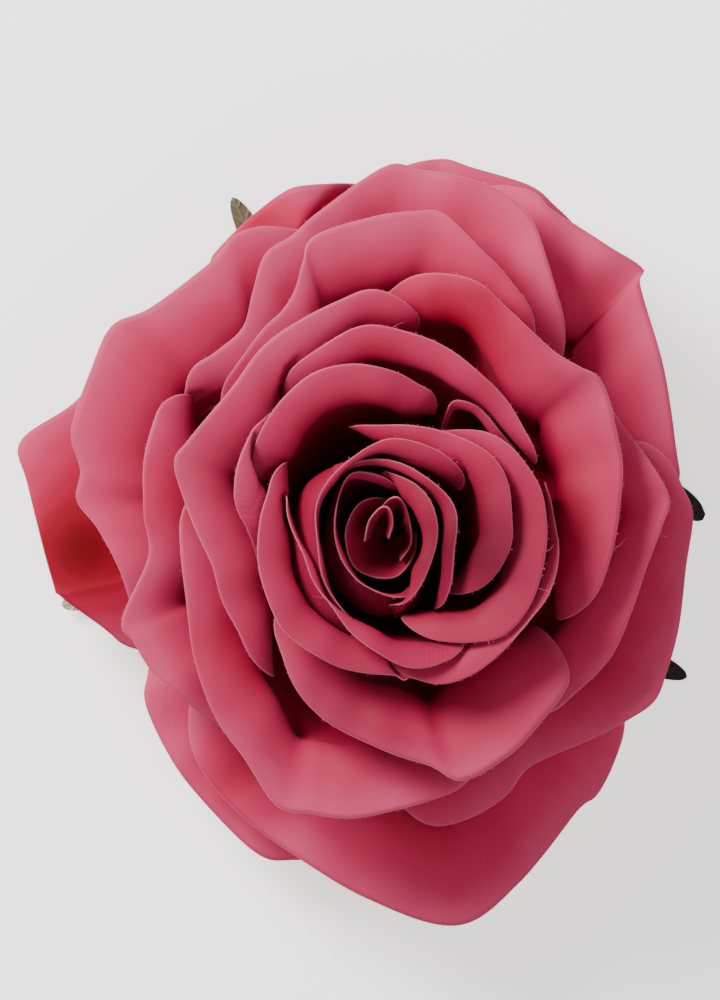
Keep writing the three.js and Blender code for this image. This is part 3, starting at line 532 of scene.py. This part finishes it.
class Nodes:
    """Short ways to add nodes to a material."""

    def __init__(self, name):
        self.material = bpy.data.materials.new(name)
        self.material.use_nodes = True
        self.tree = self.material.node_tree
        self.shader = self.tree.nodes["Principled BSDF"]

    def add(self, kind, **settings):
        node = self.tree.nodes.new(kind)
        for key, value in settings.items():
            setattr(node, key, value)
        return node

    def put(self, value, socket):
        if isinstance(value, bpy.types.NodeSocket):
            self.tree.links.new(value, socket)
        else:
            socket.default_value = value

    def math(self, operation, a, b=0.0, clamp=False):
        node = self.add("ShaderNodeMath", operation=operation, use_clamp=clamp)
        self.put(a, node.inputs[0])
        self.put(b, node.inputs[1])
        return node.outputs[0]

    def attribute(self, name):
        return self.add("ShaderNodeAttribute", attribute_name=name).outputs["Fac"]

    def grey(self, value):
        node = self.add("ShaderNodeCombineColor")
        for socket in node.inputs:
            self.put(value, socket)
        return node.outputs[0]

    def mix_color(self, factor, a, b, blend="MIX"):
        node = self.add("ShaderNodeMix", data_type="RGBA", blend_type=blend)
        self.put(factor, node.inputs[0])
        self.put(a, node.inputs[6])
        self.put(b, node.inputs[7])
        return node.outputs[2]

    def ramp(self, value, stops):
        node = self.add("ShaderNodeValToRGB")
        self.put(value, node.inputs[0])
        node.color_ramp.interpolation = "EASE"
        elements = node.color_ramp.elements
        while len(elements) < len(stops):
            elements.new(0.5)
        for element, (position, color) in zip(elements, stops):
            element.position = position
            element.color = color
        return node.outputs[0]

    def noise(self, scale, detail=3.0, vector=None):
        node = self.add("ShaderNodeTexNoise")
        node.inputs["Scale"].default_value = scale
        node.inputs["Detail"].default_value = detail
        if vector is not None:
            self.put(vector, node.inputs["Vector"])
        return node.outputs[0]


def srgb(*screen):
    """A colour given as on a screen, 0 to 255, as linear RGBA."""
    return tuple(((c / 255 + 0.055) / 1.055) ** 2.4 if c > 10 else c / 255 / 12.92 for c in screen) + (1.0,)


def petal_fabric():
    """Woven polyester, pink at the rim and crimson at the foot, partly dye and partly painted shade deepening
    into the cup, with painted shade patches in the middle and in folds, a fine rib and pale cut edges.
    """
    n = Nodes("petal_fabric")
    edge = n.attribute("edge_mm")
    rim = n.attribute("rim_mm")
    object_place = n.add("ShaderNodeTexCoord").outputs["Object"]
    cloud = n.noise(90.0, 3.0, object_place)
    shifted = n.math("ADD", rim, n.math("MULTIPLY", n.math("SUBTRACT", cloud, 0.5), DYE_WANDER))
    # Painted shade: the patches push the colour down the ramp towards deep crimson in the middle and in folds
    shifted = n.math("ADD", shifted, n.attribute("red_mm"))
    depth = n.math("DIVIDE", shifted, DYE_AND_SHADE_DEPTH, clamp=True)
    # Pink at the rim to near-black crimson at the foot: partly dye, partly painted shade deepening into the
    # cup
    color = n.ramp(depth, [
        (0.0, (0.53, 0.050, 0.128, 1)),
        (0.18, (0.48, 0.022, 0.080, 1)),
        (0.42, (0.39, 0.009, 0.042, 1)),
        (0.70, (0.28, 0.003, 0.016, 1)),
        (1.0, (0.16, 0.001, 0.004, 1)),
    ])
    # Painted shade: the colour is darkened in the deep middle and in folds
    light_share = n.math("SUBTRACT", 1.01, n.attribute("dark"))
    color = n.mix_color(1.0, color, n.grey(light_share), "MULTIPLY")
    cut = n.math("SUBTRACT", 1.0, n.math("DIVIDE", edge, CUT_WIDTH), clamp=True)
    color = n.mix_color(n.math("MULTIPLY", cut, 0.5), color, (0.60, 0.16, 0.22, 1))
    uv = n.add("ShaderNodeUVMap", uv_map="weave").outputs[0]
    split = n.add("ShaderNodeSeparateXYZ")
    n.put(uv, split.inputs[0])
    sideways = n.math("MULTIPLY", split.outputs[0], 2 * math.pi / RIB_WIDTH)
    upward = n.math("MULTIPLY", split.outputs[1], 2 * math.pi / RIB_HEIGHT)
    rib = n.math("SINE", n.math("ADD", sideways, upward))
    cross = n.math("SINE", n.math("SUBTRACT", sideways, upward))
    weave = n.math("ADD", n.math("MULTIPLY", rib, 0.7), n.math("MULTIPLY", cross, 0.3))
    shade = n.math("ADD", 0.98, n.math("MULTIPLY", weave, 0.05))
    color = n.mix_color(1.0, color, n.grey(shade), "MULTIPLY")
    n.put(color, n.shader.inputs["Base Color"])
    n.shader.inputs["Roughness"].default_value = 0.55
    n.shader.inputs["Specular IOR Level"].default_value = 0.12
    n.shader.inputs["Sheen Weight"].default_value = 0.015
    n.shader.inputs["Sheen Roughness"].default_value = 0.4
    n.shader.inputs["Sheen Tint"].default_value = srgb(255, 180, 225)
    bump = n.add("ShaderNodeBump")
    bump.inputs["Strength"].default_value = 0.2
    bump.inputs["Distance"].default_value = 0.00006
    n.put(weave, bump.inputs["Height"])
    n.put(bump.outputs[0], n.shader.inputs["Normal"])
    return n.material


def moulded_plastic(name, light, dark, roughness, scale):
    """Matte plastic with a clouded colour and a fine uneven surface."""
    n = Nodes(name)
    place = n.add("ShaderNodeTexCoord").outputs["Object"]
    cloud = n.noise(scale, 5.0, place)
    n.put(n.mix_color(cloud, dark, light), n.shader.inputs["Base Color"])
    n.shader.inputs["Roughness"].default_value = roughness
    bump = n.add("ShaderNodeBump")
    bump.inputs["Strength"].default_value = 0.3
    bump.inputs["Distance"].default_value = 0.0002
    n.put(n.noise(scale * 8, 2.0, place), bump.inputs["Height"])
    n.put(bump.outputs[0], n.shader.inputs["Normal"])
    return n.material


# ---- The pieces ----

def put_material(piece, material):
    piece.data.materials.clear()
    piece.data.materials.append(material)


def build_petals(fabric):
    crowd = Crowd(BUD_RADIUS)
    for index, (name, lip, lean, turned, rim_points) in enumerate(PETALS):
        points = petal_grid(index, lip, lean, turned, rim_points, crowd)
        piece = joined([sheet_piece("fabric_" + name, points, PETAL_THICKNESS),
                        frayed_edge(name + "_fibres", points, FIBRE_SEED + index)])
        put_material(piece, fabric)
        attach(piece, "root")
        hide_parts(name)


# The folded fabric in the middle of the bud: for each fold the share of its radius that is left at its foot,
# the height of its foot, and the points of its rim
HEART_LIP = 0.8
HEART_STEP = 0.25  # along a rim
HEART_LIP_START = 0.8  # share of the way up
HEART_FOLDS = [
    (0.45, 21.6, [[-2.9, -0.2, 49.5], [-2.3, 2.6, 51], [-0.9, 4.4, 52.2], [0.2, 4.7, 52.5], [0.9, 3.9, 52.2],
        [1.1, 2.2, 51], [0.5, 0.2, 49.5]]),
    (0.5, 21.6, [[-0.4, 4.8, 50], [0.6, 5.8, 51.5], [1.8, 6, 52], [2.8, 4.9, 51], [3.5, 2.5, 49],
        [3.6, -0.6, 47], [2.1, -2.9, 46]]),
    (0.06, 33, [[1.6, 5, 45], [-1.2, 6, 47], [-4, 4.8, 47.4], [-5.6, 1, 47], [-4.6, -3.4, 46.4],
        [-1.6, -5.2, 46], [1.8, -5, 45.6], [4.1, -2, 45], [4.4, 1.2, 44]]),
]


def fold_grid(shrink, foot_height, rim_points):
    """A fold of the heart: a sheet that rises from a small foot and turns out at its rim."""
    _, length = smooth_curve(rim_points, 10)
    rim, _ = smooth_curve(rim_points, int(length / HEART_STEP))
    outward = rim - rim.mean(axis=0)
    outward[:, 2] = 0
    outward /= np.linalg.norm(outward, axis=1, keepdims=True)
    t = np.linspace(0, 1, 40)[None, :, None]
    neck = rim - outward * HEART_LIP - np.array([0, 0, 0.6])
    foot = rim * np.array([shrink, shrink, 0]) + np.array([0, 0, foot_height])
    belly = mix(foot, neck, 0.7)
    grid = (1 - t) ** 2 * foot[:, None] + 2 * (1 - t) * t * belly[:, None] + t**2 * neck[:, None]
    bend = np.clip((t - HEART_LIP_START) / (1 - HEART_LIP_START), 0, 1) ** 2
    grid = grid * (1 - bend) + bend * rim[:, None]
    return grid if np.cross(rim[0, :2], rim[len(rim) // 2, :2]) > 0 else grid[::-1]


def build_heart(fabric):
    heart = joined([sheet_piece("heart_fold", fold_grid(*fold), PETAL_THICKNESS) for fold in HEART_FOLDS])
    heart.name = "fabric_bud_heart"
    put_material(heart, fabric)
    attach(heart, "root")
    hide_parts("bud_heart")


# Each sepal: the directions of its foot and its tip in degrees, how far it reaches and how blunt its tip is
# in mm, and its light and dark colour
# The sepal colours are dark green with painted light and shade: paler towards the lit left, near black for
# the two on the shaded right
SEPALS = [
    (112, 114, 53, 0.4, (0.16, 0.15, 0.085, 1), (0.075, 0.07, 0.04, 1)),
    (189, 191.5, 46.7, 0.6, (0.42, 0.45, 0.34, 1), (0.26, 0.29, 0.20, 1)),
    (262, 264, 42, 0.4, (0.16, 0.17, 0.09, 1), (0.07, 0.08, 0.04, 1)),
    (334, 335.5, 47, 0.4, (0.022, 0.022, 0.020, 1), (0.008, 0.009, 0.008, 1)),
    (30, 4.5, 45.5, 2.0, (0.022, 0.022, 0.020, 1), (0.008, 0.009, 0.008, 1)),
]
SEPAL_THICKNESS = 0.35
SEPAL_START = 7.2  # distance of the foot from the axis
SEPAL_WIDTH = 4.6
SEPAL_LIE = 0.45  # height of its middle where it lies on the surface
SEPAL_FALL = 3.1  # from the foot, over the first part of its length
SEPAL_FALL_SHARE = 0.35
SEPAL_LIFT = 2.0  # of the tip, over the last part of its length
SEPAL_LIFT_START = 0.7
SEPAL_FOLD = 0.9
SEPAL_WAVE = 0.25
SEPAL_JAG = 0.12  # unevenness of its cut edges


def sepal_grid(foot_direction, tip_direction, reach, blunt):
    """The points of a sepal that lies on the surface, folded along its middle, with its tip lifted, and how
    far each is from its middle."""
    t = np.linspace(0, 1, 90)[:, None]
    side = np.linspace(-1, 1, 31)[None, :]
    radius = mix(SEPAL_START, reach, t)
    direction = np.radians(mix(foot_direction, tip_direction, t**1.4))
    half_width = SEPAL_WIDTH * (t + 0.18) ** 0.5 * (1 - t) ** 0.55 + blunt * t**3 * np.sqrt(1 - t**10)
    half_width = half_width + SEPAL_JAG * np.sin(t * 47) * np.sin(np.pi * t) + 0.05
    fall = SEPAL_FALL * (1 - np.minimum(t / SEPAL_FALL_SHARE, 1)) ** 2
    lift = SEPAL_LIFT * np.maximum((t - SEPAL_LIFT_START) / (1 - SEPAL_LIFT_START), 0) ** 2
    fold = SEPAL_FOLD * np.abs(side) ** 1.3 + SEPAL_WAVE * np.sin(t * 21 + side * 2)
    height = SEPAL_LIE + fall + lift + np.maximum(fold * np.sin(np.pi * t), -0.2)
    points = np.stack(np.broadcast_arrays(
        radius * np.cos(direction) - side * half_width * np.sin(direction),
        radius * np.sin(direction) + side * half_width * np.cos(direction), height), axis=-1)
    return points, np.broadcast_to(np.abs(side) * half_width, height.shape)


def sepal_fabric(name, light, dark):
    """Dull pressed fabric with a midrib and slanted veins."""
    n = Nodes(name)
    place = n.add("ShaderNodeTexCoord").outputs["Object"]
    uv = n.add("ShaderNodeUVMap", uv_map="weave").outputs[0]
    split = n.add("ShaderNodeSeparateXYZ")
    n.put(uv, split.inputs[0])
    middle = n.attribute("middle_mm")
    slanted = n.math("SUBTRACT", split.outputs[0], n.math("MULTIPLY", middle, 1.2))
    veins = n.math("POWER", n.math("ABSOLUTE", n.math("SINE", n.math("MULTIPLY", slanted, 1.3))), 12.0)
    rib = n.math("SUBTRACT", 1.0, n.math("DIVIDE", middle, 0.35), clamp=True)
    relief = n.math("MAXIMUM", veins, rib)
    cloud = n.noise(160.0, 4.0, place)
    color = n.mix_color(cloud, dark, light)
    color = n.mix_color(n.math("MULTIPLY", relief, 0.45), color, tuple(c * 1.5 for c in light[:3]) + (1,))
    n.put(color, n.shader.inputs["Base Color"])
    n.shader.inputs["Roughness"].default_value = 0.7
    n.shader.inputs["Specular IOR Level"].default_value = 0.2
    bump = n.add("ShaderNodeBump")
    bump.inputs["Strength"].default_value = 0.6
    bump.inputs["Distance"].default_value = 0.00025
    n.put(n.math("ADD", relief, n.math("MULTIPLY", n.noise(2500.0, 2.0, place), 0.4)), bump.inputs["Height"])
    n.put(bump.outputs[0], n.shader.inputs["Normal"])
    return n.material


def build_sepals():
    for index, (foot_direction, tip_direction, reach, blunt, light, dark) in enumerate(SEPALS):
        name = f"sepal_{index + 1}"
        points, middle = sepal_grid(foot_direction, tip_direction, reach, blunt)
        piece = sheet_piece("fabric_" + name, points, SEPAL_THICKNESS, middle_mm=middle)
        put_material(piece, sepal_fabric("fabric_of_" + name, light, dark))
        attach(piece, "root")
        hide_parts(name)


# ---- The studio ----

def set_stage():
    a = FLOOR_REACH
    mesh = bpy.data.meshes.new("floor")
    mesh.from_pydata([(-a, -a, 0), (a, -a, 0), (a, a, 0), (-a, a, 0)], [], [(0, 1, 2, 3)])
    floor = linked("floor", mesh)
    n = Nodes("floor")
    n.shader.inputs["Base Color"].default_value = (0.95, 0.95, 0.95, 1)
    n.shader.inputs["Roughness"].default_value = 0.9
    n.shader.inputs["Emission Color"].default_value = (1, 1, 1, 1)
    n.shader.inputs["Emission Strength"].default_value = 1.0
    put_material(floor, n.material)


def area_light(name, place, size, power):
    """A round lamp that shines on the flower."""
    data = bpy.data.lights.new(name, "AREA")
    data.shape = "DISK"
    data.size = size
    data.energy = power
    light = linked(name, data)
    light.location = place
    direction = Vector(LIGHT_TARGET) - Vector(place)
    light.rotation_euler = direction.to_track_quat("-Z", "Y").to_euler()


def set_lights():
    area_light("key", (-0.36, 0.34, 0.46), size=0.30, power=8.5)
    area_light("fill", (0.3, -0.2, 1.0), size=0.8, power=4.8)
    world = bpy.data.worlds.new("studio")
    world.use_nodes = True
    background = world.node_tree.nodes["Background"]
    background.inputs[0].default_value = (1, 1, 1, 1)
    background.inputs[1].default_value = 0.4
    bpy.context.scene.world = world


def set_camera():
    data = bpy.data.cameras.new("camera")
    data.lens = data.sensor_width * (CAMERA_HEIGHT - SHARP_HEIGHT) / PICTURE_HEIGHT
    data.clip_end = 10
    camera = linked("camera", data)
    camera.location = (CORE[0] * MM + CAMERA_ASIDE[0], CORE[1] * MM + CAMERA_ASIDE[1], CAMERA_HEIGHT)
    bpy.context.scene.camera = camera


fabric = petal_fabric()
build_petals(fabric)
build_heart(fabric)
build_sepals()
plastic = moulded_plastic("calyx_plastic", srgb(62, 88, 44), srgb(40, 62, 30), 0.5, 150)
for node in ("calyx", "core", "stem_end"):
    put_material(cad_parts[node], plastic)
set_stage()
set_lights()
set_camera()
